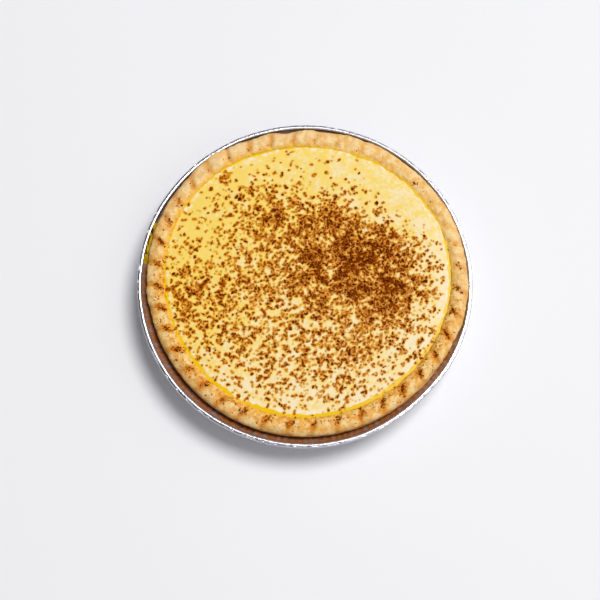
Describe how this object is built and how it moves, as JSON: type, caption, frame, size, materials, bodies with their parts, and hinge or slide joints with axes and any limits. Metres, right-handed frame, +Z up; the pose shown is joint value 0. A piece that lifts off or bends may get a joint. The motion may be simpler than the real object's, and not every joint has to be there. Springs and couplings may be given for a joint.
{
  "type": "custard tart",
  "caption": "Round custard tart in its own pressed foil dish: a crimped shortcrust shell filled with set custard and dusted unevenly with ground cinnamon.",
  "frame": {"origin": "middle of the foil dish's flat underside, on the surface that the tart stands on", "axes": "+Z up out of the custard, -Y towards the viewer of the picture, +X to the viewer's right"},
  "size_m": [0.22, 0.22, 0.0326],
  "materials": {
    "aluminium_foil": "bright pressed foil with fine pleats",
    "baked_shortcrust": "matt, golden, slightly crumbly baked pastry",
    "set_custard": "pale yellow set custard with a soft sheen, dusted with ground cinnamon"
  },
  "bodies": {
    "root": {"foil_dish": "aluminium_foil", "pastry_crust": "baked_shortcrust", "custard_filling": "set_custard"}
  },
  "joints": []
}
